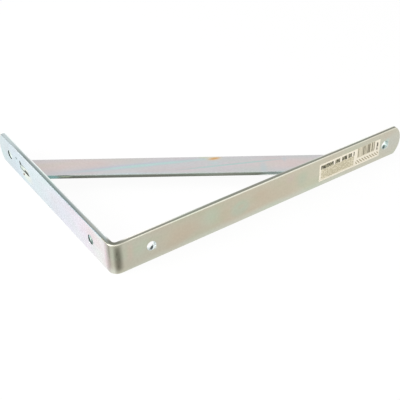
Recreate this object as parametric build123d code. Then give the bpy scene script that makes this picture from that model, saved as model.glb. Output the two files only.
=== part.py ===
from build123d import *
import os

# Reinforced angle bracket of zinc-plated flat bar, in millimetres.
# It lies on its side edges. The long arm runs along +X and the short arm along +Y,
# from the heel, where the planes of their outer faces meet. +Z is up, across the bar's width.
# The row's origin is on the short arm's outer face, midway between its two screw holes.

# Bent bar
long_arm = 330.0          # heel to the end of the long arm's rounded tip
short_arm = 230.0         # heel to the end of the short arm's rounded tip
bar_width = 30.0
bar_thickness = 5.0
bend_inside = 3.0         # radius inside the heel
tip_rise = 7.0            # height of the arc that ends each arm
tip_corner = 2.5          # radius where that arc meets the bar's edges
bar_edge = 0.6            # rolled edge of the bar, all round

# Screw holes, on the middle line of each arm
hole_diameter = 9.0
heel_to_hole = 37.5       # the same on both arms
long_tip_to_hole = 21.0
short_tip_to_hole = 25.0
punched_edge = 0.3        # rounding that the punch leaves on holes and slots

# Brace: a second flat bar that lies in the plane of the two arms
brace_width = 28.5
brace_thickness = 4.0
brace_edge = 0.6
long_tip_to_brace = 79.5  # from the tip to where the brace's middle line meets the outer face
short_tip_to_brace = 58.5
shoulder_gap = 0.1        # between the brace's cut ends and the arms

# Tenons at the brace's ends, set through slots in the arms and hammered flush
tenon_width = 17.2
tenon_twist = 4.0         # degrees, turned down towards the arm's tip by the hammering
tenon_recess = 0.1        # below the arm's outer face
tenon_edge = 0.4
slot_end_play = 0.7       # at each end of the tenon
slot_side_play = 0.9      # on each flat side of the tenon

# Paper label on the long arm's outer face, over the end of the brace's tenon
label_length = 78.6
label_height = 19.2
label_thickness = 0.15
label_corner = 0.5
long_tip_to_label = 67.8  # from the tip to the label's middle
label_drop = 0.1          # from the bar's middle line down to the label's middle
label_tilt = 0.3          # degrees, its tip end up

# Worked out from the sizes above
bend_outside = bend_inside + bar_thickness
long_holes = (heel_to_hole, long_arm - long_tip_to_hole)
short_holes = (heel_to_hole, short_arm - short_tip_to_hole)
long_seat = long_arm - long_tip_to_brace
short_seat = short_arm - short_tip_to_brace
slot_length = tenon_width + 2 * slot_end_play
slot_height = brace_thickness + 2 * slot_side_play
short_hole_middle = sum(short_holes) / 2
to_row = Location((0, -short_hole_middle, 0))

# Each arm is drawn flat and lifted into place: distance from the heel, then height.
long_face = Plane(origin=(0, 0, 0), x_dir=(1, 0, 0), z_dir=(0, -1, 0))
short_face = Plane(origin=(0, 0, 0), x_dir=(0, 1, 0), z_dir=(1, 0, 0))


def arm_outline(length):
    """One arm seen flat: straight edges, and an arc with softened corners at the tip."""
    half = bar_width / 2
    corner = length - tip_rise
    with BuildSketch() as outline:
        with BuildLine():
            Polyline((corner, half), (bend_outside, half), (bend_outside, -half), (corner, -half))
            ThreePointArc((corner, -half), (length, 0), (corner, half))
        make_face()
        fillet(outline.vertices().group_by(Axis.X)[-1], tip_corner)
    return outline.sketch


def heel():
    """The quarter ring of bar that joins the two arms."""
    ring = Circle(bend_outside) - Circle(bend_inside)
    quarter = ring & Pos(-bend_outside / 2, -bend_outside / 2) * Rectangle(bend_outside, bend_outside)
    return extrude(Pos(bend_outside, bend_outside) * quarter, bar_width / 2, both=True)


def punch(bar, face, openings):
    """Cut the openings, drawn flat on an arm's outer face, and round their rims."""
    punched = bar - extrude(face * openings, 2 * bar_thickness, both=True)
    cut_edges = punched.edges() - bar.edges()
    through = cut_edges.filter_by(Axis((0, 0, 0), face.z_dir))
    return fillet(cut_edges - through, punched_edge)


def arm_openings(holes, seat):
    """The two screw holes and the slot of one arm, drawn flat."""
    openings = Sketch() + [Pos(along, 0) * Circle(hole_diameter / 2) for along in holes]
    return openings + Pos(seat, 0) * Rectangle(slot_length, slot_height)


def angle_strip():
    """Flat bar bent to a right angle, with rounded tips, four screw holes and two slots.

    The bar's edges are rounded from its straight stretches, and the rounding runs on by itself
    through the heel and round the tips, because the outline has no sharp corner.
    """
    long_plate = extrude(long_face * arm_outline(long_arm), -bar_thickness)
    short_plate = extrude(short_face * arm_outline(short_arm), bar_thickness)
    bar = long_plate + short_plate + heel()
    straight = (bar.edges() - bar.edges().filter_by(Axis.Z)).filter_by(GeomType.LINE)
    bar = fillet(straight.filter_by(lambda edge: edge.length > bar_width), bar_edge)
    bar = punch(bar, long_face, arm_openings(long_holes, long_seat))
    return punch(bar, short_face, arm_openings(short_holes, short_seat))


def tenon():
    """One tenon, from behind the short arm to its outer face, twisted about the arm's normal."""
    inside = bar_thickness + shoulder_gap
    reach = inside - tenon_recess
    block = Pos(tenon_recess + reach / 2, 0, 0) * Box(reach, tenon_width, brace_thickness)
    block = fillet(block.faces().sort_by(Axis.X)[0].edges(), tenon_edge)
    return Rot(-tenon_twist, 0, 0) * block


def brace():
    """Flat strut between the arms, cut to lie against both, with a tenon at each end.

    A strip longer than needed is laid on the middle line, and what reaches past the arms'
    inner faces is cut off, which gives its two oblique ends.
    """
    shoulder = bar_thickness + shoulder_gap
    middle = Line((0, short_seat), (long_seat, 0))
    turn = Rot(0, 0, middle.tangent_angle_at(0))
    strip = Pos(middle @ 0.5) * turn * Rectangle(long_arm + short_arm, brace_width)
    between_arms = Rectangle(long_arm, short_arm, align=(Align.MIN, Align.MIN))
    body = extrude(strip & Pos(shoulder, shoulder) * between_arms, brace_thickness / 2, both=True)
    body = fillet(body.edges().filter_by(lambda edge: edge.length > middle.length / 2), brace_edge)
    on_short = Pos(0, short_seat, 0) * tenon()
    on_long = Pos(long_seat, 0, 0) * Rot(0, 0, 90) * tenon()
    return body + on_short + on_long


def label():
    """Thin paper rectangle stuck flat on the long arm's outer face."""
    sheet = RectangleRounded(label_length, label_height, label_corner)
    place = Pos(long_arm - long_tip_to_label, -label_drop) * Rot(0, 0, label_tilt)
    return extrude(long_face * place * sheet, label_thickness)


nodes = {
    "angle_strip": angle_strip(),
    "brace": brace(),
    "label": label(),
}

os.makedirs("parts", exist_ok=True)
for name, solid in nodes.items():
    export_step(to_row * solid, f"parts/{name}.step")
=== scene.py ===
# %% [markdown]
# # A reinforced angle bracket, from bare solids to a finished look
# The real bracket holds up a shelf. It is a flat steel bar bent to a right angle, with a
# second bar set between its arms as a brace. All of it is zinc plated, and a paper label is
# stuck on the long arm. The three solids are modelled already. This lesson loads them as a
# fixed frame, and gives them a camera, a studio and their finishes.

# %% Load the frame
import math

import bpy
from mathutils import Matrix, Vector


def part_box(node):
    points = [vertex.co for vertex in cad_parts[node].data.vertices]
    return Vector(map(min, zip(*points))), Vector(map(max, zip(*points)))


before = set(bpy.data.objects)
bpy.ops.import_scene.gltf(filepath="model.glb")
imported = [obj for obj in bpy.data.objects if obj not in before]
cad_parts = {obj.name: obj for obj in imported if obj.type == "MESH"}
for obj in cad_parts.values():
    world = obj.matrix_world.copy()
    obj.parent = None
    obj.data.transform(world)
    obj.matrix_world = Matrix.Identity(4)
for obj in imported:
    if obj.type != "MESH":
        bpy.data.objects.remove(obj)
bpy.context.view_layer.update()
bpy.ops.object.select_all(action="DESELECT")
print("nodes:", ", ".join(sorted(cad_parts)))

# %% [markdown]
# ## Millimetres and places
# Blender measures in metres, but hardware is drawn in millimetres, so a number of millimetres
# is written `12 * MM`. The heel is the line where the planes of the two outer faces meet. It
# could be typed in as numbers, but it is read from the frame instead, so that it always fits.

# %% Where the heel and the floor are
MM = 0.001
low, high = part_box("angle_strip")
heel = Vector((low.x, low.y, 0))
floor_height = low.z
print("heel at", [round(value / MM, 2) for value in heel], "mm, floor at", round(floor_height / MM, 2))

# %% [markdown]
# ## The camera
# The bracket lies on its side and is seen from a little above, across the heel. A camera can
# be aimed with a Track To constraint, but here its three angles are known, so they are given
# as turns: first the roll about its own line of sight, then the tilt, then the heading.

# %% Set up the camera
CAMERA_PLACE = (-0.2172, -0.5743, 0.4131)
HEADING, LOOK_DOWN, ROLL = 33.89, 35.34, -1.30
SENSOR_WIDTH, FOCAL_LENGTH = 36, 71.39
bpy.ops.object.camera_add()
camera = bpy.context.object
camera.name = "camera"
camera.matrix_world = (
    Matrix.Translation(CAMERA_PLACE)
    @ Matrix.Rotation(math.radians(-HEADING), 4, "Z")
    @ Matrix.Rotation(math.radians(90 - LOOK_DOWN), 4, "X")
    @ Matrix.Rotation(math.radians(ROLL), 4, "Z")
)
camera.data.sensor_width = SENSOR_WIDTH
camera.data.lens = FOCAL_LENGTH
bpy.context.scene.camera = camera
bpy.context.scene.view_settings.view_transform = "Standard"
print("camera is", round((Vector(CAMERA_PLACE) - heel).length, 3), "m from the heel")

# %% [markdown]
# ## Colours and nodes
# A colour is easiest to pick as an sRGB hex value, as on a paint chart, but shaders calculate
# in linear light, so one function converts it. A second function adds any kind of node: it
# applies the node's settings and fills its inputs, each with a value, a hex colour, or a link
# from another node. A node stands for its first output that is in use. The Mix node has
# several inputs of the same name, so its two colours are picked by their numbers.

# %% Two helpers for materials
UNDER, OVER = 6, 7


def linear(hex_colour):
    """An sRGB hex colour as the linear RGBA that a shader takes."""
    shares = [int(hex_colour[start:start + 2], 16) / 255 for start in (1, 3, 5)]
    return [((s + 0.055) / 1.055) ** 2.4 if s > 0.04045 else s / 12.92 for s in shares] + [1]


def add(tree, kind, inputs=None, stops=None, **settings):
    """Add a node with its settings, its inputs (values, hex colours or links) and a ramp's stops."""
    node = tree.nodes.new(kind)
    for name, value in settings.items():
        setattr(node, name, value)
    for socket, value in (inputs or {}).items():
        if isinstance(value, bpy.types.Node):
            value = next(output for output in value.outputs if output.enabled)
        if isinstance(value, bpy.types.NodeSocket):
            tree.links.new(value, node.inputs[socket])
        else:
            node.inputs[socket].default_value = linear(value) if isinstance(value, str) else value
    if stops:
        elements = node.color_ramp.elements
        elements.remove(elements[1])
        for place, colour in stops:
            elements.new(place).color = linear(colour)
        elements.remove(elements[0])
    return node


print("mid grey #808080 is", round(linear("#808080")[0], 3), "in linear light")

# %% [markdown]
# ## The floor
# The bracket lies on a sheet of matt white paper, which shows its soft shadow and no mirror
# image. Lit alone, a white sheet renders a little grey, so for the camera, and for what the
# metal mirrors, most of it is a white glow of strength 1 and the rest is the lit sheet, which
# keeps the shadow. Light Path tells the shader which kind of ray has met it. More lamps would
# whiten the sheet too, but burn out the metal.

# %% Start a material


def new_material(name):
    """An empty material, and its tree of nodes."""
    material = bpy.data.materials.new(name)
    material.use_nodes = True
    material.node_tree.nodes.clear()
    return material, material.node_tree


sheet, tree = new_material("white_studio_sheet")
print("started", sheet.name)

# %% Lay the floor
FLOOR_SIZE = 6
WHITE_GLOW = 0.93
PAPER_WHITE = "#F2F2F0"


def seen_or_mirrored(tree):
    """1 for rays from the camera, and for those that metal or glass sends on, else 0."""
    path = add(tree, "ShaderNodeLightPath")
    direct = add(tree, "ShaderNodeMath", {0: path.outputs["Is Camera Ray"],
                                          1: path.outputs["Is Glossy Ray"]}, operation="MAXIMUM")
    return add(tree, "ShaderNodeMath", {0: direct, 1: path.outputs["Is Transmission Ray"]},
               operation="MAXIMUM")


bpy.ops.mesh.primitive_plane_add(size=FLOOR_SIZE, location=(0, 0, floor_height))
floor = bpy.context.object
floor.name = "studio_floor"
glow_share = add(tree, "ShaderNodeMath", {0: seen_or_mirrored(tree), 1: WHITE_GLOW},
                 operation="MULTIPLY")
lit = add(tree, "ShaderNodeBsdfDiffuse", {"Color": PAPER_WHITE})
glow = add(tree, "ShaderNodeEmission", {"Strength": 1.0})
both = add(tree, "ShaderNodeMixShader", {0: glow_share, 1: lit, 2: glow})
add(tree, "ShaderNodeOutputMaterial", {"Surface": both})
floor.data.materials.append(sheet)
print("the floor glows by", WHITE_GLOW)

# %% [markdown]
# ## The studio's light
# A product photograph is lit by a white tent and large soft boxes. The world stands for the
# tent. Its light on the paper and the label is a little weaker than the white that the camera
# and the metal see. One soft box stands low at the left, where it brightens the short arm, and
# a weak one hangs overhead. Bare lamps would light it too, but with hard shadows.

# %% Make the tent
TENT_LIGHT = 0.85
tent = bpy.data.worlds.new("white_tent")
bpy.context.scene.world = tent
tent.use_nodes = True
tree = tent.node_tree
tree.nodes.clear()
tent_light = add(tree, "ShaderNodeBackground", {"Color": "#FFFFFF", "Strength": TENT_LIGHT})
tent_wall = add(tree, "ShaderNodeBackground", {"Color": "#FFFFFF", "Strength": 1.0})
either = add(tree, "ShaderNodeMixShader", {0: seen_or_mirrored(tree), 1: tent_light, 2: tent_wall})
add(tree, "ShaderNodeOutputWorld", {"Surface": either})
print("the tent lights paper at", TENT_LIGHT, "of full white")

# %% Hang the soft boxes


def soft_box(name, place, aim, size, watts):
    """A square area lamp that faces the point it is aimed at. Places and size are in metres."""
    bpy.ops.object.light_add(type="AREA", location=place)
    lamp = bpy.context.object
    lamp.name = name
    lamp.data.shape = "SQUARE"
    lamp.data.size = size
    lamp.data.energy = watts
    lamp.rotation_euler = (Vector(aim) - Vector(place)).to_track_quat("-Z", "Y").to_euler()
    return lamp


left_box = soft_box("left_soft_box", place=(-0.60, 0.10, 0.22), aim=(0, -0.02, 0), size=0.6, watts=8)
top_box = soft_box("top_soft_box", place=(0.10, 0.10, 1.20), aim=(0.10, 0, 0), size=1.2, watts=3)
print("lamps:", left_box.data.energy, "and", top_box.data.energy, "W")

# %% [markdown]
# ## Places on the metal, in millimetres
# Every stain and streak has a place on the steel. Object coordinates give that place in
# metres. The bent bar's are unrolled first, as if it were flat again: `along` runs from the
# short arm's end, negative, through the heel, zero, to the long arm's end. A UV map could do
# this too, but the unrolled place can be worked out, so nothing has to be unwrapped.

# %% Unroll the bent bar
# The thickness and the radius are the real ones. The ends and the height are read from the frame.
BAR_THICKNESS = 5.0
BEND_RADIUS = 8.0
SHORT_END = -round((high.y - low.y) / MM)
LONG_END = round((high.x - low.x) / MM)
HALF_HEIGHT = round((high.z - low.z) / MM) / 2


def from_heel(tree):
    """The place on the bracket in millimetres, measured from the heel."""
    where = add(tree, "ShaderNodeTexCoord")
    return add(tree, "ShaderNodeMapping", {"Vector": where.outputs["Object"], "Location": heel,
                                           "Scale": (MM, MM, MM)}, vector_type="TEXTURE")


def unrolled(tree):
    """Distance along the bar from its heel, height from its middle, depth below the outer face."""
    place = from_heel(tree)
    split = add(tree, "ShaderNodeSeparateXYZ", {0: place})
    along = add(tree, "ShaderNodeMath", {0: split.outputs["X"], 1: split.outputs["Y"]},
                operation="SUBTRACT")
    to_centre = add(tree, "ShaderNodeVectorMath", {0: (BEND_RADIUS, BEND_RADIUS, 0), 1: place},
                    operation="SUBTRACT")
    flat = add(tree, "ShaderNodeVectorMath", {0: to_centre, 1: (1, 1, 0)}, operation="MULTIPLY")
    in_bend = add(tree, "ShaderNodeVectorMath", {0: flat, 1: (0, 0, 0)}, operation="MAXIMUM")
    radius = add(tree, "ShaderNodeVectorMath", {0: in_bend}, operation="LENGTH")
    depth = add(tree, "ShaderNodeMath", {0: BEND_RADIUS, 1: radius}, operation="SUBTRACT")
    return add(tree, "ShaderNodeCombineXYZ", {"X": along, "Y": split.outputs["Z"], "Z": depth})


print("the unrolled bar runs from", SHORT_END, "to", LONG_END, "mm and is", 2 * HALF_HEIGHT, "mm high")

# %% [markdown]
# ## Coats of colour
# Stains, streaks, and the painted highlights and shade on edges and in holes are all coats of
# one colour over another. A coat's mask is worked out from a number, such as a distance or a
# height, and passes softly from nothing to full. Painting by hand is the other way, but a mask
# made of nodes has no pixels, so it stays smooth close up. A coat can have a label, which names
# it in the shader editor.

# %% Lay a coat


def coat(tree, colour, over, value, none_at, full_at, strength=1.0, label=""):
    """Lay a colour over another where a value has passed from none_at to full_at, softly."""
    mask = add(tree, "ShaderNodeMapRange", {"Value": value, "From Min": none_at, "From Max": full_at,
                                            "To Max": strength}, interpolation_type="SMOOTHSTEP")
    return add(tree, "ShaderNodeMix", {"Factor": mask, UNDER: colour, OVER: over},
               data_type="RGBA", label=label)


print("a coat takes two nodes")

# %% [markdown]
# ## Marks
# A mark, such as a stain or a nick, is a coat whose number is the distance from its centre,
# measured in a box that is stretched and turned to the mark's own shape. Its list entry says
# what it is, where its centre is, how far it reaches along and across, its colour and how
# strong it is. `soft` is the share of its reach that fades out. `depth` and `deep` say at what
# depth it lies and how far it reaches from there. Noise alone could stain the metal too, but
# then no stain would sit where it does on the real bracket.

# %% Describe and lay marks
SKIN = 1.5


def mark(what, at, reach, colour, strength, soft=0.6, turn=0, depth=0, deep=SKIN):
    """One mark. It lies in the skin of the outer face, unless it says deeper."""
    return dict(what=what, at=at, reach=reach, colour=colour, strength=strength,
                soft=soft, turn=turn, depth=depth, deep=deep)


def streak(what, start, end, width, colour, strength, **settings):
    """A mark that runs from one place to another, and thins out towards its ends."""
    run = Vector(end) - Vector(start)
    centre = (Vector(start) + Vector(end)) / 2
    return mark(what, centre, (run.length / 2, width / 2), colour, strength,
                turn=math.degrees(math.atan2(run.y, run.x)), **settings)


def lay_marks(tree, colour, place, marks):
    """Lay marks over a colour, one after the other."""
    for spot in marks:
        local = add(tree, "ShaderNodeMapping", {
            "Vector": place, "Location": (*spot["at"], spot["depth"]),
            "Scale": (*spot["reach"], spot["deep"]),
            "Rotation": (0, 0, math.radians(spot["turn"]))}, vector_type="TEXTURE")
        distance = add(tree, "ShaderNodeVectorMath", {0: local}, operation="LENGTH")
        colour = coat(tree, colour, spot["colour"], distance, 1.0, 1.0 - spot["soft"],
                      spot["strength"], label=spot["what"])
    return colour


print("most marks reach", SKIN, "mm into the steel")

# %% [markdown]
# ## Bright zinc plating
# The steel bar is rolled, cut, punched and bent, then plated with zinc and passivated. Zinc is
# a metal, half dull after rolling, and the thin passivation film tints it straw, pink,
# lavender, blue or green, by its thickness. This function is the metal below any tint. The eye
# sees fine rolled lines along the bar, a fine grain that breaks up the reflections, slow
# changes in how dull it is, and a film that drifts between pink and green. A picture of real
# plating could be wrapped on instead, but noise has no seams and can be sized in millimetres.

# %% Sizes and strengths of the metal's patterns
# Real rolled lines and plating grain are finer than a tenth of a millimetre, and a pixel of
# the render covers about one. Both are drawn several times coarser, or they wouldn't show.
ROLL_LINE_WIDTH = 0.35
ROLL_LINE_LENGTH = 9.0
GRAIN_SIZE = 0.8
RELIEF_HEIGHT = 0.02
RELIEF_STRENGTH = 0.35
# The mottle, the dull clouds and the film's drift are about as large as on the real bar.
MOTTLE_SIZE = 2.2
CLOUD_SIZE = 25.0
FILM_DRIFT_SIZE = (45.0, 18.0, 18.0)
FILM_DRIFT = [(0.36, "#FAFFFB"), (0.5, "#FFFFFF"), (0.64, "#FFFBFA")]
FACE_ROUGHNESS = (0.42, 0.54)
CUT_ROUGHNESS = 0.6
MOTTLE_SPREAD = (0.25, 0.75)
MOTTLE_SHINE = (0.96, 1.05)
print("rolled lines are", ROLL_LINE_WIDTH, "mm wide")

# %% The metal shader


def zinc_metal(tree, place, colour, cut):
    """Finish a tree as plated steel of this colour. Where the cut mask is 1 it was sheared or punched."""
    run = add(tree, "ShaderNodeMapping", {"Vector": place, "Scale": (
        1 / ROLL_LINE_LENGTH, 1 / ROLL_LINE_WIDTH, 1 / ROLL_LINE_WIDTH)})
    lines = add(tree, "ShaderNodeTexNoise", {"Vector": run, "Scale": 1.0, "Detail": 2.0})
    grain = add(tree, "ShaderNodeTexNoise", {"Vector": place, "Scale": 1 / GRAIN_SIZE, "Detail": 3.0})
    relief = add(tree, "ShaderNodeMath", {0: lines, 1: grain}, operation="ADD")
    bump = add(tree, "ShaderNodeBump", {"Height": relief, "Strength": RELIEF_STRENGTH,
                                        "Distance": RELIEF_HEIGHT * MM})
    clouds = add(tree, "ShaderNodeTexNoise", {"Vector": place, "Scale": 1 / CLOUD_SIZE, "Detail": 2.0})
    face_rough = add(tree, "ShaderNodeMapRange", {"Value": clouds, "To Min": FACE_ROUGHNESS[0],
                                                  "To Max": FACE_ROUGHNESS[1]})
    rough = add(tree, "ShaderNodeMapRange", {"Value": cut, "To Min": face_rough,
                                             "To Max": CUT_ROUGHNESS})
    drift = add(tree, "ShaderNodeMapping", {"Vector": place,
                                            "Scale": [1 / size for size in FILM_DRIFT_SIZE]})
    film = add(tree, "ShaderNodeTexNoise", {"Vector": drift, "Scale": 1.0, "Detail": 3.0})
    tint = add(tree, "ShaderNodeValToRGB", {"Fac": film}, stops=FILM_DRIFT)
    tinted = add(tree, "ShaderNodeMix", {"Factor": 1.0, UNDER: colour, OVER: tint},
                 data_type="RGBA", blend_type="MULTIPLY")
    mottle = add(tree, "ShaderNodeTexNoise", {"Vector": place, "Scale": 1 / MOTTLE_SIZE, "Detail": 4.0})
    shine = add(tree, "ShaderNodeMapRange", {
        "Value": mottle, "From Min": MOTTLE_SPREAD[0], "From Max": MOTTLE_SPREAD[1],
        "To Min": MOTTLE_SHINE[0], "To Max": MOTTLE_SHINE[1]})
    speckled = add(tree, "ShaderNodeVectorMath", {0: tinted, "Scale": shine}, operation="SCALE")
    metal = add(tree, "ShaderNodeBsdfPrincipled", {"Base Color": speckled, "Metallic": 1.0,
                                                   "Roughness": rough, "Normal": bump})
    add(tree, "ShaderNodeOutputMaterial", {"Surface": metal})


print("faces are", FACE_ROUGHNESS, "rough, cut edges", CUT_ROUGHNESS)

# %% [markdown]
# ## The film along the bent bar
# Along the bar the film changes slowly: mint and pale blue at the short arm's end, lavender
# and pink towards the heel, and straw along the long arm. The short arm's colours are also
# painted lighter than the long arm's, as painted light from the left, and the darker stretch in
# the bend is painted shade. Many large marks could build this up, but a colour ramp over the
# unrolled length is simpler and has no borders.

# %% Film colours along the bar
# Film colours with painted light and shade in them: the short arm is painted lighter, and from -8 to -1
# mm the ramp darkens as painted shade in the bend.
FILM_AND_PAINTED_LIGHT_ALONG = [
    (SHORT_END, "#C4CFD1"),
    (-190, "#C4CFD6"),
    (-140, "#CBD4D8"),
    (-90, "#D3D5DD"),
    (-45, "#DAD4DC"),
    (-22, "#D9DBD9"),
    (-13, "#DAD6D7"),
    (-8, "#B4ABA9"),
    (-5, "#A69F98"),
    (-3, "#B3B1A4"),
    (-1, "#B9BBAC"),
    (3, "#B6B6A6"),
    (12, "#C1C0B0"),
    (30, "#C3C1B1"),
    (60, "#C4BFAD"),
    (120, "#C8C2AF"),
    (200, "#CECAB7"),
    (LONG_END, "#CDCDBD"),
]


def along_share(millimetres):
    """A place along the bar as a share of the whole ramp."""
    return (millimetres - SHORT_END) / (LONG_END - SHORT_END)


print("the heel is at", round(along_share(0), 3), "of the film's ramp")

# %% Start the bar's material
# Bright zinc gives the eye a pale, half dull mirror with a faint rainbow in it.
bar_plate, tree = new_material("bright_zinc_plated_flat_bar")
place = unrolled(tree)
parts = add(tree, "ShaderNodeSeparateXYZ", {0: place})
along, height, depth = (parts.outputs[axis] for axis in "XYZ")
share = add(tree, "ShaderNodeMapRange", {"Value": along, "From Min": SHORT_END, "From Max": LONG_END})
colour = add(tree, "ShaderNodeValToRGB", {"Fac": share},
             stops=[(along_share(at), film) for at, film in FILM_AND_PAINTED_LIGHT_ALONG])
print("the film has", len(FILM_AND_PAINTED_LIGHT_ALONG), "colours")

# %% [markdown]
# ## Marks on the bent bar
# Handling and punching leave marks that the plating keeps, and some marks are painted light and
# shade. The broad, weak ones are the film's own zones, and a painted dark reflection band across
# the bend, with painted light at its head and foot. The small, strong ones are nicks, rust,
# painted shadow lines where the brace's tenon sits in its slot, and painted shade or painted
# highlights on the lips of the punched holes. They could be painted on an image, but as entries
# of a list each can be moved or recoloured alone.

# %% Lay the broad marks
TAN, GREEN, PINK = "#C9BDA8", "#BFC7B6", "#CFC1B6"

BAR_ZONES = [
    mark("pink strip by the bend", (17, 3), (5, 13), "#CDBCAE", 0.6, soft=0.9),
    mark("green cloud by the near hole", (28, 1), (12, 15), GREEN, 0.4, soft=0.9),
    mark("tan zone", (66, 1), (26, 14), TAN, 0.45, soft=0.8),
    mark("green cloud past the tan zone", (98, 4), (14, 14), "#C2C8B5", 0.8, soft=0.9),
    mark("tan strip", (114, -1), (9, 12), TAN, 0.5, soft=0.8),
    mark("round green cloud", (130, -1), (13, 11), "#BEC6B4", 0.8, soft=0.6),
    mark("warm heart of the green cloud", (131, 1), (6, 4), "#C6C0AC", 0.6, soft=0.9),
    mark("tan patch past the green cloud", (152, 3), (14, 9), "#C9BAA5", 0.5, soft=0.9),
    mark("tan patch at the long tip", (312, 10), (14, 7), "#CDC3B2", 0.5, soft=0.9),
    mark("tan zone before the label", (175, 1), (42, 15), TAN, 0.45, soft=0.7),
    mark("pink spot", (188, 8), (9, 7), PINK, 0.6, soft=0.9),
    mark("green spot", (202, 2), (10, 12), GREEN, 0.6, soft=0.9),
    mark("neutral tip", (318, 0), (24, 16), "#CBCBC2", 0.7, soft=0.9),
    mark("pale lower border", (170, -15.5), (240, 8.5), "#D0D5C9", 0.75, soft=0.8),
    mark("pink upper half", (-28, 6), (22, 12), "#D9CCCF", 0.5, soft=0.8),
    mark("whitish foot of the bend", (-1, -15), (9, 10), "#D4D6CB", 0.8, soft=0.9),
    mark("pink line before the bend", (-11, 3), (2, 20), "#D6BFC6", 0.55, soft=0.9),
    # From here to the list's end: a painted dark reflection band across the bend, its blots, and painted
    # light at its head and foot.
    mark("painted dark reflection band across the bend", (5.2, 1), (6.3, 34), "#6A695B", 0.85, soft=0.85),
    mark("dark blot in the band", (4.4, 6), (1.3, 2.2), "#55554A", 0.5, soft=0.9),
    mark("dark blot in the band", (6.2, 0), (1.2, 2.6), "#55554A", 0.3, soft=0.9),
    mark("dark blot in the band", (5.0, -7), (1.5, 2.4), "#55554A", 0.25, soft=0.9),
    mark("light blot in the band", (3.2, 1), (1.1, 1.8), "#A5A595", 0.4, soft=0.9),
    mark("pale foot of the band", (8, -15.5), (12, 7), "#C6C7B5", 0.85, soft=0.9),
    mark("pale head of the band", (5, 15), (10, 4.5), "#AFB09E", 0.6, soft=0.9),
    mark("narrow second band", (-5, 8), (2.2, 16), "#8C8B7E", 0.6, soft=0.9),
]
colour = lay_marks(tree, colour, place, BAR_ZONES)
print(len(BAR_ZONES), "broad marks, from the", BAR_ZONES[0]["what"], "to the", BAR_ZONES[-1]["what"])

# %% Lay the small marks
# The holes' and the slot's places are measured along the bar from the heel.
NEAR_LONG_HOLE, FAR_LONG_HOLE = 37.5, 309.0
NEAR_SHORT_HOLE, FAR_SHORT_HOLE = -37.5, -205.0
SHORT_SLOT = -171.5
LIP_HIGHLIGHT, SHADE = "#E6EAE6", "#4E5853"

# Painted shadow: the dark lines and the dark end stand for the shade in the gap between the tenon and the
# slot. The cream stain round the slot is the steel's own.
SLOT_MARKS = [
    mark("cream stain round the slot", (SHORT_SLOT + 4.5, -4), (17, 10), "#DCE1D4", 0.75, soft=0.9),
    streak("thin painted shadow line in the slot's gap", (SHORT_SLOT - 10, 4.5), (SHORT_SLOT - 1, -5.5), 1.9, SHADE, 0.42),
    streak("thick painted shadow line in the slot's gap", (SHORT_SLOT - 0.5, -0.3), (SHORT_SLOT + 12.5, -1.8), 4.2, SHADE,
           0.95, soft=0.3),
    mark("painted shadow at the end of the slot", (SHORT_SLOT - 7.9, 3.7), (3.1, 2.7), SHADE, 0.95),
]
BAR_MARKS = [
    streak("rust spot", (SHORT_SLOT + 0.5, -4.6), (SHORT_SLOT - 4.5, -8), 2.6, "#6E4128", 1.0),
    mark("grey nick", (SHORT_SLOT - 17, 4.2), (1.9, 1.6), "#6C787A", 0.95, soft=0.4),
    # The lips' tones are painted: painted shade on the short arm's lips, painted highlights on the long
    # arm's lips, and a painted mint sheen past the far hole.
    mark("shaded lip of the far short hole", (FAR_SHORT_HOLE - 3.6, -2), (2.6, 4), "#A3B0B4", 0.8,
         soft=0.8),
    mark("shaded lip of the near short hole", (NEAR_SHORT_HOLE - 3.4, -2.6), (2.6, 3.4), "#A9B2B6",
         0.7, soft=0.8),
    mark("painted highlight on the lip of the near hole", (NEAR_LONG_HOLE + 3.4, -1.6), (2.2, 4.6), LIP_HIGHLIGHT, 0.8,
         soft=0.8),
    mark("mint shine past the far hole", (FAR_LONG_HOLE + 3, 4), (3.6, 3.6), "#C8D9D1", 0.85,
         soft=0.9),
    mark("painted highlight on the lip of the far hole", (FAR_LONG_HOLE + 3.4, -1.6), (2.2, 4.6), LIP_HIGHLIGHT, 0.8,
         soft=0.8),
]
colour = lay_marks(tree, colour, place, SLOT_MARKS + BAR_MARKS)
print(len(SLOT_MARKS), "marks at the slot and", len(BAR_MARKS), "more small ones")

# %% [markdown]
# ## The bar's rim
# The bar's long edges were rolled round and its tips were cut to an arc. The long arm's outer
# corner has a painted highlight, the rim behind it is a duller cut edge darkened further by
# painted shade, and its inner corner has a painted highlight again. A ramp over the depth below
# the outer face gives these stripes, one for each arm, and marks vary the painted highlights
# and shade unevenly. A bevel under the right lamps could give them too, but the rim is only a
# few pixels wide, and each stripe has to keep its own tone.

# %% Stripes of the rim
# Each ramp is painted light and shade: a painted highlight at the outer corner, painted shade behind it,
# and a painted highlight at the inner corner.
LONG_RIM = [
    (0.0, "#DDDCCE"),
    (0.8, "#D9D8CA"),
    (1.2, "#898B80"),
    (2.6, "#83857B"),
    (3.2, "#A6A8A0"),
    (3.8, "#E8E8E2"),
    (BAR_THICKNESS, "#F4F4F0"),
]
SHORT_RIM = [
    (0.0, "#99A5AA"),
    (0.5, "#86949A"),
    (1.0, "#75817F"),
    (2.0, "#8C9796"),
    (3.3, "#A6AFAF"),
    (4.0, "#DDE2E2"),
    (BAR_THICKNESS, "#F2F4F4"),
]
print("the rim has", len(LONG_RIM), "shades on the long arm and", len(SHORT_RIM), "on the short one")

# %% Painted highlights and shade on the rim
EDGE_REACH = 3
TOP_SIDE = HALF_HEIGHT


def edge_mark(what, edge_place, along, reach, colour, strength, **settings):
    """A mark on a narrow edge: it runs along the edge, and reaches right across it."""
    return mark(what, (along, edge_place), (reach, EDGE_REACH), colour, strength, **settings)


# The bright marks are painted highlights, and the dull ones are painted shade over the duller cut edge.
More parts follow.
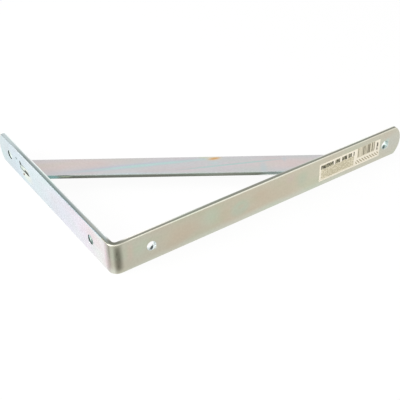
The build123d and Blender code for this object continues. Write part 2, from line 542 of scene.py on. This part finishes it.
RIM_MARKS = [
    edge_mark("dull inner rim along the middle", TOP_SIDE, 145, 125,
              "#84867C", 0.9, soft=0.7, depth=3.6, deep=1.8),
    edge_mark("painted highlight on the outer rim along the middle", TOP_SIDE, 150, 125,
              "#E3E2D5", 0.85, soft=0.6, depth=0.6, deep=1.1),
    edge_mark("dull outer rim past the bend", TOP_SIDE, 11, 9,
              "#96968A", 0.8, soft=0.7, depth=0.9, deep=0.8),
    edge_mark("painted highlight on the outer rim of the short arm", TOP_SIDE, -165, 85,
              "#B9C4C7", 0.85, soft=0.8, depth=0.1, deep=1.0),
    edge_mark("dull inner rim of the bend", TOP_SIDE, 0, 14,
              "#6C6E64", 0.95, soft=0.7, depth=3.6, deep=2.9),
    edge_mark("grey rim near the bend", TOP_SIDE, -34, 32,
              "#A9AAA4", 0.6, soft=0.8, depth=2.4, deep=2.4),
    edge_mark("painted light on the rim near the short tip", TOP_SIDE, -212, 46,
              "#BEC7C9", 0.85, soft=0.8, depth=2, deep=3.0),
    edge_mark("thin dull line near the short tip", TOP_SIDE, -216, 24,
              "#74817F", 0.3, soft=0.6, depth=0.2, deep=0.8),
    edge_mark("dull rim before the bend", TOP_SIDE, -11, 9,
              "#8F8E82", 0.9, soft=0.6, depth=0.4, deep=1.2),
    edge_mark("painted highlight on the corner of the bend", TOP_SIDE, -1, 7,
              "#D6D5C9", 0.45, soft=0.6, depth=0.1, deep=0.8),
]
print(len(RIM_MARKS), "marks on the rim")

# %% Find the cut steel
# A place is cut if it is below both faces. These are the distances, in millimetres, from the
# faces, the ends and the sides at which each mask starts and is full.
CUT_STARTS, CUT_FULL = 0.02, 0.2
TIP_STARTS, TIP_FULL = 12.0, 10.0
SIDE_STARTS, SIDE_FULL = 0.7, 0.3
half_thickness = BAR_THICKNESS / 2
half_length = (LONG_END - SHORT_END) / 2
from_core = add(tree, "ShaderNodeMath", {0: depth, 1: half_thickness}, operation="SUBTRACT")
off_core = add(tree, "ShaderNodeMath", {0: from_core}, operation="ABSOLUTE")
cut = add(tree, "ShaderNodeMapRange", {"Value": off_core, "From Min": half_thickness - CUT_STARTS,
                                       "From Max": half_thickness - CUT_FULL})
from_centre = add(tree, "ShaderNodeMath", {0: along, 1: (SHORT_END + LONG_END) / 2},
                  operation="SUBTRACT")
to_tip = add(tree, "ShaderNodeMath", {0: from_centre}, operation="ABSOLUTE")
tip = add(tree, "ShaderNodeMapRange", {"Value": to_tip, "From Min": half_length - TIP_STARTS,
                                       "From Max": half_length - TIP_FULL})
tip_edge = add(tree, "ShaderNodeMath", {0: cut, 1: tip}, operation="MULTIPLY")
from_middle = add(tree, "ShaderNodeMath", {0: height}, operation="ABSOLUTE")
long_edge = add(tree, "ShaderNodeMapRange", {"Value": from_middle, "From Min": HALF_HEIGHT - SIDE_STARTS,
                                             "From Max": HALF_HEIGHT - SIDE_FULL})
edge = add(tree, "ShaderNodeMath", {0: tip_edge, 1: long_edge}, operation="MAXIMUM")
print("each tip's rim covers the last", TIP_FULL, "mm of the bar")

# %% Colour the rim
RIM_CHANGES = (-4.0, -12.0)
depth_share = add(tree, "ShaderNodeMapRange", {"Value": depth, "From Max": BAR_THICKNESS})
long_rim, short_rim = (
    add(tree, "ShaderNodeValToRGB", {"Fac": depth_share},
        stops=[(at / BAR_THICKNESS, shade) for at, shade in rim]) for rim in (LONG_RIM, SHORT_RIM))
rim = coat(tree, long_rim, short_rim, along, *RIM_CHANGES, label="rim of the short arm")
rim = lay_marks(tree, rim, place, RIM_MARKS)
colour = coat(tree, colour, rim, edge, 0.0, 1.0, label="rim")
print("the rim changes in the bend, from", RIM_CHANGES[0], "to", RIM_CHANGES[1], "mm")

# %% [markdown]
# ## The walls of the holes
# A punch shears the first part of a hole's wall and tears the rest. Through each hole the eye
# sees a thin crescent of wall, and its tones are painted light and shade. On the short arm it has
# painted shade under the lip and painted light below, and on the long arm it is a pale grey
# painted reflection with painted shade at its foot. The walls are found as cut steel that is near
# the bar's middle line and away from its tips. A material slot of their own would be another
# way, but each solid has only one.

# %% Shades in the holes
# Painted shade and painted light in the holes: dark under the lip, light deeper in, and every wall mark
# below is painted light or shade.
WALL_SHADE, WALL_LIGHT, LONG_WALL_PAINTED_LIGHT = "#46524F", "#F6FFFC", "#E6EEEE"
WALL_LIGHTENS = (0.9, 1.5)
WALL_CHANGES = (0.0, -10.0)
WALL_SHADES = [
    mark("blue wall of the near short hole", (NEAR_SHORT_HOLE - 3.5, 1), (4, 3.4), "#D4E6EE", 0.8,
         soft=0.6, depth=2.5, deep=2.6),
    mark("shade under the near short hole", (NEAR_SHORT_HOLE + 0.5, -4.2), (3.2, 2.4), "#7C8D89",
         0.85, soft=0.6, depth=2.4, deep=2.4),
    mark("grey wall of the far hole", (FAR_LONG_HOLE + 2, -1), (5, 6), "#B9C6C4", 0.8, soft=0.5,
         depth=2.5, deep=4),
    mark("shade under the near hole", (NEAR_LONG_HOLE - 0.9, -4.5), (3.2, 2.7), "#343A38", 0.95,
         soft=0.7, depth=2.8, deep=3),
    mark("shade under the far hole", (FAR_LONG_HOLE - 1.1, -4.3), (2.6, 2.8), "#5D6D67", 0.95,
         soft=0.6, depth=2.8, deep=3),
]
print(len(WALL_SHADES), "shades on the holes' walls")

# %% Colour the walls and plate the bar
# The holes lie within this many millimetres of the middle line.
HOLES_START, HOLES_FULL = 10.0, 8.0
inside = add(tree, "ShaderNodeMapRange", {"Value": from_middle, "From Min": HOLES_START,
                                          "From Max": HOLES_FULL})
off_tip = add(tree, "ShaderNodeMath", {0: inside, 1: tip}, operation="SUBTRACT", use_clamp=True)
punched = add(tree, "ShaderNodeMath", {0: cut, 1: off_tip}, operation="MULTIPLY")
short_wall = coat(tree, WALL_SHADE, WALL_LIGHT, depth, *WALL_LIGHTENS, label="light in the hole")
wall = coat(tree, LONG_WALL_PAINTED_LIGHT, short_wall, along, *WALL_CHANGES, label="walls of the short arm")
wall = lay_marks(tree, wall, place, WALL_SHADES)
colour = coat(tree, colour, wall, punched, 0.0, 1.0, label="walls of the holes")
zinc_metal(tree, place, colour, cut)
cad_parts["angle_strip"].material_slots[0].material = bar_plate
print("plated the bar with", len(tree.nodes), "nodes")

# %% [markdown]
# ## The brace
# The brace was plated with the bar, so it is the same metal, but its film is pink and
# lavender. One long light streak and a thin second one cross it where the bath ran off, and a
# gold stain is at its far edge. Places on it are measured along it from its seat on the short
# arm, across it from its middle line, and up from its middle height, so a mark's depth is a
# height here. It could share the bar's material, but then its film could not be its own.

# %% List the brace's marks
BRACE_MARKS = [
    mark("pink film above the streak", (30, 3), (120, 14), "#CCBFBB", 0.85, soft=0.9, turn=6),
    mark("pink film near the long arm", (255, 0), (60, 14), "#CFC2C0", 0.8, soft=0.8),
    mark("pink film past the middle", (205, -2), (34, 9), "#CCC0C4", 0.6, soft=0.9),
    mark("pink film at the near side", (158, -9), (28, 5), "#CCC0C4", 0.5, soft=0.9),
    mark("blue film at the near side", (108, -14), (48, 4), "#B9C8CE", 0.7, soft=0.9),
    streak("blue border of the streak", (8, -15), (196, 14), 12, "#B5BAC9", 0.75, soft=0.9),
    streak("light blue streak", (28, -12.6), (206, 14.5), 7.0, "#B4CBC9", 0.95, soft=0.8),
    streak("border of the second streak", (118, -13), (272, 11.5), 4.6, "#BBBCC4", 0.7, soft=0.9),
    streak("second, thin streak", (130, -11.6), (262, 10.2), 3.0, "#ADC5C0", 0.9, soft=0.6),
    mark("blue band across", (229, -6), (5, 15), "#B6C2C9", 0.5, soft=0.8),
    mark("faint band across", (250, 7), (3, 7), "#BAC4CA", 0.5, soft=0.9),
    mark("light blue patch by the stain", (183, 2), (10, 4.5), "#B8C6C8", 0.7, soft=0.9),
    mark("pale gold round the stain", (182, 11.5), (11, 6), "#D8CBB0", 0.8, soft=0.9),
    mark("gold stain", (182.5, 10.4), (8.5, 3.0), "#CD9C5E", 0.9, soft=0.9, turn=14),
    mark("green edge of the stain", (172, 12.6), (7, 2.2), "#C3CCAE", 0.6, soft=0.9),
]
print(len(BRACE_MARKS), "marks on the brace")

# %% Lay the brace's film and streaks
# The same zinc as the bar's gives the eye a flat pinkish sheen here, with cool streaks in it.
# The seats are where the brace's middle line meets the outer faces, measured from the heel.
SHORT_SEAT, LONG_SEAT = -SHORT_SLOT, 250.5
PLAIN_FILM = "#C3C2C4"
THROUGH = 30
brace_plate, tree = new_material("bright_zinc_plated_brace_bar")
place_from_heel = from_heel(tree)
slope = math.atan2(-SHORT_SEAT, LONG_SEAT)
place = add(tree, "ShaderNodeMapping", {"Vector": place_from_heel, "Location": (0, SHORT_SEAT, 0),
                                        "Rotation": (0, 0, slope)}, vector_type="TEXTURE")
colour = lay_marks(tree, PLAIN_FILM, place, [dict(spot, deep=THROUGH) for spot in BRACE_MARKS])
print("the brace slopes by", round(math.degrees(slope), 1), "degrees")

# %% [markdown]
# ## The brace's side
# The brace's near side is a sheared edge, so it is dull and grey, and painted shade darkens it
# further. Its upper corner has a painted highlight, its lower corner a painted reflection of the
# floor, and its end by the long arm is bluish. Its painted highlights and shade are laid on as
# marks, as on the bar's rim. A bevel could catch such lights, but the real corners are only
# softened, and the light in them changes along the side.

# %% Colour the brace's side
SIDE_GREY_AND_SHADE, TOP_CORNER_HIGHLIGHT, BOTTOM_CORNER_REFLECTION, LONG_END_GREY = "#777B73", "#A9B3AE", "#E2E5E0", "#A9BDC2"
EDGE_STARTS, EDGE_FULL = 13.7, 14.1
TOP_LIGHTENS = (0.6, 1.6)
BOTTOM_LIGHTENS = (-1.4, -1.8)
END_CHANGES = (222.0, 236.0)
NEAR_SIDE = -14
# Painted light and shade on the side: the dull corners are painted shade, the mint streak is a painted
# highlight, and the bright foot is a painted reflection of the floor.
SIDE_MARKS = [
    edge_mark("brighter middle of the side", NEAR_SIDE, 190, 56,
              "#959A91", 0.75, soft=0.9, depth=0, deep=1.8),
    edge_mark("dull top corner by the long arm", NEAR_SIDE, 237, 8,
              "#838D8B", 0.8, soft=0.9, depth=1.7, deep=0.8),
    edge_mark("teal left end", NEAR_SIDE, 27, 13,
              "#B3DDD9", 0.85, soft=0.6, depth=0, deep=2.6),
    edge_mark("dull top corner near the short arm", NEAR_SIDE, 41, 9,
              "#76837B", 0.9, soft=0.8, depth=1.7, deep=0.8),
    edge_mark("painted mint highlight near the short arm", NEAR_SIDE, 41, 10,
              "#C4CFB8", 0.85, soft=0.8, depth=0.4, deep=1.1),
    edge_mark("painted floor reflection on the foot by the long arm", NEAR_SIDE, 237, 17,
              "#DFE6E4", 0.9, soft=0.6, depth=-1.5, deep=1.1),
]
parts = add(tree, "ShaderNodeSeparateXYZ", {0: place})
along, across, level = (parts.outputs[axis] for axis in "XYZ")
from_middle = add(tree, "ShaderNodeMath", {0: across}, operation="ABSOLUTE")
edge = add(tree, "ShaderNodeMapRange", {"Value": from_middle, "From Min": EDGE_STARTS,
                                        "From Max": EDGE_FULL})
side = coat(tree, SIDE_GREY_AND_SHADE, TOP_CORNER_HIGHLIGHT, level, *TOP_LIGHTENS, label="top corner")
side = coat(tree, side, BOTTOM_CORNER_REFLECTION, level, *BOTTOM_LIGHTENS, label="bottom corner")
side = coat(tree, side, LONG_END_GREY, along, *END_CHANGES, strength=0.6, label="end by the long arm")
side = lay_marks(tree, side, place, SIDE_MARKS)
colour = coat(tree, colour, side, edge, 0.0, 1.0, label="side")
print(len(SIDE_MARKS), "marks on the brace's side")

# %% [markdown]
# ## The brace's tenons
# Each end of the brace has a tenon that goes through a slot of the bar and is hammered nearly
# flush. In the slot it has painted shade, and its end face carries the bar's slot marks, the
# cream stain and the painted shadow lines of the gap, which run on from the bar over the gap.
# A tenon could be a piece with a material of its own, but it is part of the brace, so it is
# told from the rest by how deep it lies: the smaller of its distances from the two outer faces.

# %% Shade the tenons and plate the brace
PAINTED_SLOT_SHADE, TENON_END = "#59625F", "#CFD8D4"
GAP = 0.1
END_FACE = (0.5, 0.3)
heel_parts = add(tree, "ShaderNodeSeparateXYZ", {0: place_from_heel})
below_face = add(tree, "ShaderNodeMath", {0: heel_parts.outputs["X"], 1: heel_parts.outputs["Y"]},
                 operation="MINIMUM")
# Painted shade on the part of the tenon that lies inside the slot.
colour = coat(tree, colour, PAINTED_SLOT_SHADE, below_face, BAR_THICKNESS + GAP, BAR_THICKNESS - GAP,
              label="shade in the slot")
tenon = lay_marks(tree, TENON_END, unrolled(tree), SLOT_MARKS)
colour = coat(tree, colour, tenon, below_face, *END_FACE, label="tenon's end face")
zinc_metal(tree, place, colour, edge)
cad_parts["brace"].material_slots[0].material = brace_plate
print("plated the brace with", len(tree.nodes), "nodes")

# %% [markdown]
# ## The paper label
# The label is coated paper, printed in brown ink. Its print is plain shapes only: a row of
# small blocks, a tan panel of fine dashes, upright bars and slanting strokes. Real print could
# be an image, but these shapes stay sharp at any size. Dashes and blocks come from one cell
# pattern, in which each cell is inked or bare by white noise.

# %% Places and shapes on the label
LABEL_WIDTH, LABEL_HEIGHT = 78.6, 19.2
LABEL_TILT = 0.3
ANY_DEPTH = 10000


def on_label(tree):
    """The place on the label in millimetres, from its lower left corner."""
    label_low, label_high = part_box("label")
    where = add(tree, "ShaderNodeTexCoord")
    level = add(tree, "ShaderNodeMapping", {"Vector": where.outputs["Object"],
                                            "Location": (label_low + label_high) / 2,
                                            "Rotation": (0, math.radians(-LABEL_TILT), 0),
                                            "Scale": (MM, MM, MM)}, vector_type="TEXTURE")
    return add(tree, "ShaderNodeVectorMath", {0: level, 1: (LABEL_WIDTH / 2, 0, LABEL_HEIGHT / 2)},
               operation="ADD")


def block(tree, place, left, right, bottom, top):
    """Mask of an upright rectangle on the label."""
    local = add(tree, "ShaderNodeMapping", {
        "Vector": place, "Location": ((left + right) / 2, 0, (bottom + top) / 2),
        "Scale": ((right - left) / 2, ANY_DEPTH, (top - bottom) / 2)}, vector_type="TEXTURE")
    size = add(tree, "ShaderNodeVectorMath", {0: local}, operation="ABSOLUTE")
    split = add(tree, "ShaderNodeSeparateXYZ", {0: size})
    most = add(tree, "ShaderNodeMath", {0: split.outputs["X"], 1: split.outputs["Z"]},
               operation="MAXIMUM")
    return add(tree, "ShaderNodeMath", {0: most, 1: 1.0}, operation="LESS_THAN")


print("the label is", LABEL_WIDTH, "by", LABEL_HEIGHT, "mm")

# %% Patterns of ink


def inked_cells(tree, place, width, height, share):
    """Mask of cells of this width and height, of which about this share is inked."""
    scaled = add(tree, "ShaderNodeVectorMath", {0: place, 1: (1 / width, 0, 1 / height)},
                 operation="MULTIPLY")
    whole = add(tree, "ShaderNodeVectorMath", {0: scaled}, operation="FLOOR")
    chance = add(tree, "ShaderNodeTexWhiteNoise", {"Vector": whole}, noise_dimensions="3D")
    return add(tree, "ShaderNodeMath", {0: chance, 1: share}, operation="LESS_THAN")


def rows(tree, place, direction, pitch, width):
    """Mask of parallel lines across a direction, this far apart and this wide."""
    way = add(tree, "ShaderNodeVectorMath", {0: place, 1: direction}, operation="DOT_PRODUCT")
    wrapped = add(tree, "ShaderNodeMath", {0: way, 1: pitch}, operation="FLOORED_MODULO")
    return add(tree, "ShaderNodeMath", {0: wrapped, 1: width}, operation="LESS_THAN")


def ink(tree, colour, over, area, pattern=1.0):
    """Print a colour over another inside an area, where the pattern is inked."""
    mask = add(tree, "ShaderNodeMath", {0: area, 1: pattern}, operation="MULTIPLY")
    return add(tree, "ShaderNodeMix", {"Factor": mask, UNDER: colour, OVER: over}, data_type="RGBA")


print("ink can be laid in cells and in rows")

# %% [markdown]
# ## Print the label
# Each shape is an area and a pattern. The real dashes and strokes are finer than a pixel of
# the render, so they are drawn as coarse as they need to be to show. They could be modelled as
# raised ink, but print has no height that the eye could see.

# %% Where the print is
# An area is given as left, right, bottom and top, in millimetres from the label's corner.
PANEL = (2.4, 44.1, 1.9, 12.8)
BEHIND_BARS = (48.3, 71.3, 8.2, 19.2)
STROKES = (46.6, 77.2, 1.9, 6.1)
SIDE_STRIP = (74.1, 76.3, 7.8, 16.7)
HEAD_BOTTOM, HEAD_TOP = 13.0, 17.3
HEAD_BLOCKS = [(1.9, 17.5), (19.7, 25.8), (28.3, 35.0), (36.3, 40.8), (43.0, 44.4)]
BARS_BOTTOM, BARS_TOP = 9.2, 19.0
UPRIGHT_BARS = [
    (49.2, 50.3, "#A0977E"),
    (51.6, 52.0, "#C8C0A8"),
    (54.2, 55.0, "#B5AD95"),
    (55.9, 57.3, "#7C745C"),
    (58.1, 59.1, "#8F876E"),
    (60.1, 61.0, "#A69E86"),
    (61.9, 63.2, "#7E765F"),
    (63.6, 65.3, "#7E765F"),
    (67.5, 68.8, "#7A725B"),
    (70.3, 71.3, "#857D66"),
]
print(len(HEAD_BLOCKS), "blocks in the head row and", len(UPRIGHT_BARS), "upright bars")

# %% Print the panel and the head row
# Coated paper gives the eye a warm white with a soft, dull sheen. The print on it is a tan
# panel that looks like fine text, and a row of dark blocks above.
PAPER, PANEL_TAN, TEXT_INK = "#FBF3E1", "#E2D9BF", "#B7AE8E"
HEAD_TAN, HEAD_INK = "#AAA589", "#4A4732"
TEXT_PITCH, TEXT_HEIGHT, DASH_WIDTH = 1.25, 0.7, 0.9
HEAD_CELL = (0.8, 1.45)
INKED_SHARE = 0.62
paper, tree = new_material("coated_label_paper_with_brown_print")
place = on_label(tree)
panel = block(tree, place, *PANEL)
colour = ink(tree, PAPER, PANEL_TAN, panel)
text_lines = rows(tree, place, (0, 0, 1), TEXT_PITCH, TEXT_HEIGHT)
dashes = ink(tree, colour, TEXT_INK, panel, text_lines)
colour = ink(tree, colour, dashes, inked_cells(tree, place, DASH_WIDTH, TEXT_PITCH, INKED_SHARE))
for left, right in HEAD_BLOCKS:
    head = block(tree, place, left, right, HEAD_BOTTOM, HEAD_TOP)
    colour = ink(tree, colour, HEAD_TAN, head)
    colour = ink(tree, colour, HEAD_INK, head, inked_cells(tree, place, *HEAD_CELL, INKED_SHARE))
print("text lines are", TEXT_PITCH, "mm apart")

# %% Print the bars, strokes and side strip
BARS_TAN, STROKE_INK, STRIP_INK = "#E0D8C1", "#AFA588", "#6B6453"
STROKES_RUN_ACROSS = (0.72, 0, 0.69)
PAPER_ROUGHNESS = 0.5
colour = ink(tree, colour, BARS_TAN, block(tree, place, *BEHIND_BARS))
for left, right, shade in UPRIGHT_BARS:
    colour = ink(tree, colour, shade, block(tree, place, left, right, BARS_BOTTOM, BARS_TOP))
strokes = rows(tree, place, STROKES_RUN_ACROSS, pitch=2.4, width=1.1)
colour = ink(tree, colour, STROKE_INK, block(tree, place, *STROKES), strokes)
strip_cells = inked_cells(tree, place, width=1.1, height=1.5, share=0.85)
colour = ink(tree, colour, STRIP_INK, block(tree, place, *SIDE_STRIP), strip_cells)
card = add(tree, "ShaderNodeBsdfPrincipled", {"Base Color": colour, "Roughness": PAPER_ROUGHNESS})
add(tree, "ShaderNodeOutputMaterial", {"Surface": card})
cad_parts["label"].material_slots[0].material = paper
print("printed the label with", len(tree.nodes), "nodes")

# %% [markdown]
# ## The end

# %% Finish
print("the looks are finished")
